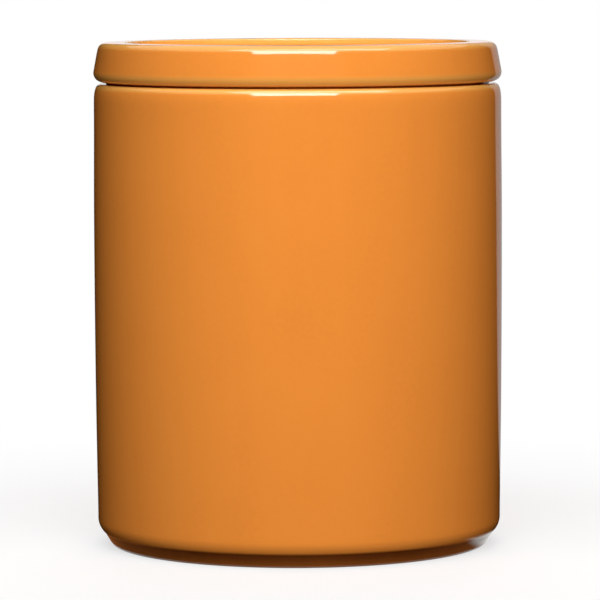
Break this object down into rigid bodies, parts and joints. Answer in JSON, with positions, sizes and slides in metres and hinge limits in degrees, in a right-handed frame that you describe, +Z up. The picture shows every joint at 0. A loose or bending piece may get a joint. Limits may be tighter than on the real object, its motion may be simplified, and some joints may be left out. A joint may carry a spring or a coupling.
{
  "type": "storage jar",
  "caption": "Round glazed stoneware storage jar with a rounded lip and tapered foot ring, closed by a recessed lift-off lid with a silicone seal.",
  "frame": {"origin": "centre of the foot ring, on the surface that the jar stands on", "axes": "+Z up along the jar's axis; the jar is round, so X and Y are free"},
  "size_m": [0.12, 0.12, 0.1476],
  "materials": {
    "glaze": "glossy orange glaze over stoneware",
    "silicone": "satin translucent silicone"
  },
  "bodies": {
    "jar": {"jar_body": "glaze"},
    "lid": {"lid": "glaze", "seal_ring": "silicone"}
  },
  "joints": [
    {"name": "lid_lift", "type": "slide", "parent": "jar", "child": "lid", "axis": [0, 0, 1], "range_m": [0, 0.08]}
  ]
}
